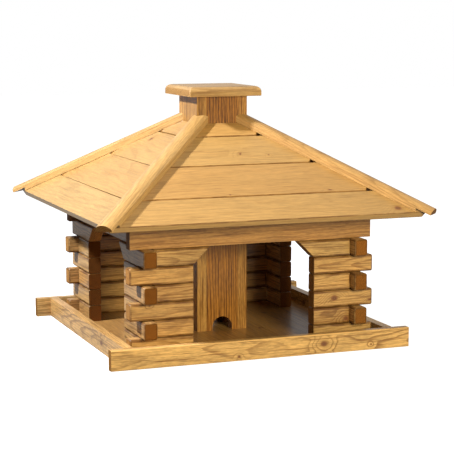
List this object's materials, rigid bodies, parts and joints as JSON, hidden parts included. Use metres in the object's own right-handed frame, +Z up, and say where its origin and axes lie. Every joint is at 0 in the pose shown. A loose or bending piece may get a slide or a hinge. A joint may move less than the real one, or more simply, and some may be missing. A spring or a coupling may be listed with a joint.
{
  "type": "bird feeder",
  "caption": "Log cabin bird feeder house with stacked-log corners, open doorways, a plank pyramid roof, a railed tray and a central seed silo with a lift-off lid.",
  "frame": {"origin": "centre of the tray's underside, at the bottom of the whole object", "axes": "+Z up through the silo and its lid; -Y is the front, the side whose rail ends and even log courses run past the corners; +X to the right seen from the front"},
  "size_m": [0.6296, 0.6296, 0.465],
  "materials": {
    "floor": "varnished, satin",
    "rail": "varnished, satin",
    "log": "varnished, satin",
    "header": "varnished, satin",
    "silo": "varnished, satin",
    "roof": "varnished, satin",
    "hip_strip": "varnished, satin",
    "lid": "varnished, satin"
  },
  "bodies": {
    "house": {"floor_panel": "floor", "rail_front": "rail", "rail_back": "rail", "rail_left": "rail", "rail_right": "rail", "logs_front_right_1": "log", "logs_back_right_1": "log", "logs_back_left_1": "log", "logs_front_left_1": "log", "logs_front_right_2": "log", "logs_back_right_2": "log", "logs_back_left_2": "log", "logs_front_left_2": "log", "logs_front_right_3": "log", "logs_back_right_3": "log", "logs_back_left_3": "log", "logs_front_left_3": "log", "logs_front_right_4": "log", "logs_back_right_4": "log", "logs_back_left_4": "log", "logs_front_left_4": "log", "logs_front_right_5": "log", "logs_back_right_5": "log", "logs_back_left_5": "log", "logs_front_left_5": "log", "logs_front_right_6": "log", "logs_back_right_6": "log", "logs_back_left_6": "log", "logs_front_left_6": "log", "header_front": "header", "header_back": "header", "header_left": "header", "header_right": "header", "silo_front": "silo", "silo_right": "silo", "silo_back": "silo", "silo_left": "silo", "roof_plank_front_1": "roof", "roof_plank_front_2": "roof", "roof_plank_front_3": "roof", "roof_plank_front_4": "roof", "roof_plank_right_1": "roof", "roof_plank_right_2": "roof", "roof_plank_right_3": "roof", "roof_plank_right_4": "roof", "roof_plank_back_1": "roof", "roof_plank_back_2": "roof", "roof_plank_back_3": "roof", "roof_plank_back_4": "roof", "roof_plank_left_1": "roof", "roof_plank_left_2": "roof", "roof_plank_left_3": "roof", "roof_plank_left_4": "roof", "hip_strip_front_right": "hip_strip", "hip_strip_back_right": "hip_strip", "hip_strip_back_left": "hip_strip", "hip_strip_front_left": "hip_strip"},
    "lid": {"lid_board": "lid", "lid_plug": "silo"}
  },
  "joints": [
    {"name": "lid_lift", "type": "slide", "parent": "house", "child": "lid", "axis": [0, 0, 1], "range_m": [0, 0.12]}
  ]
}
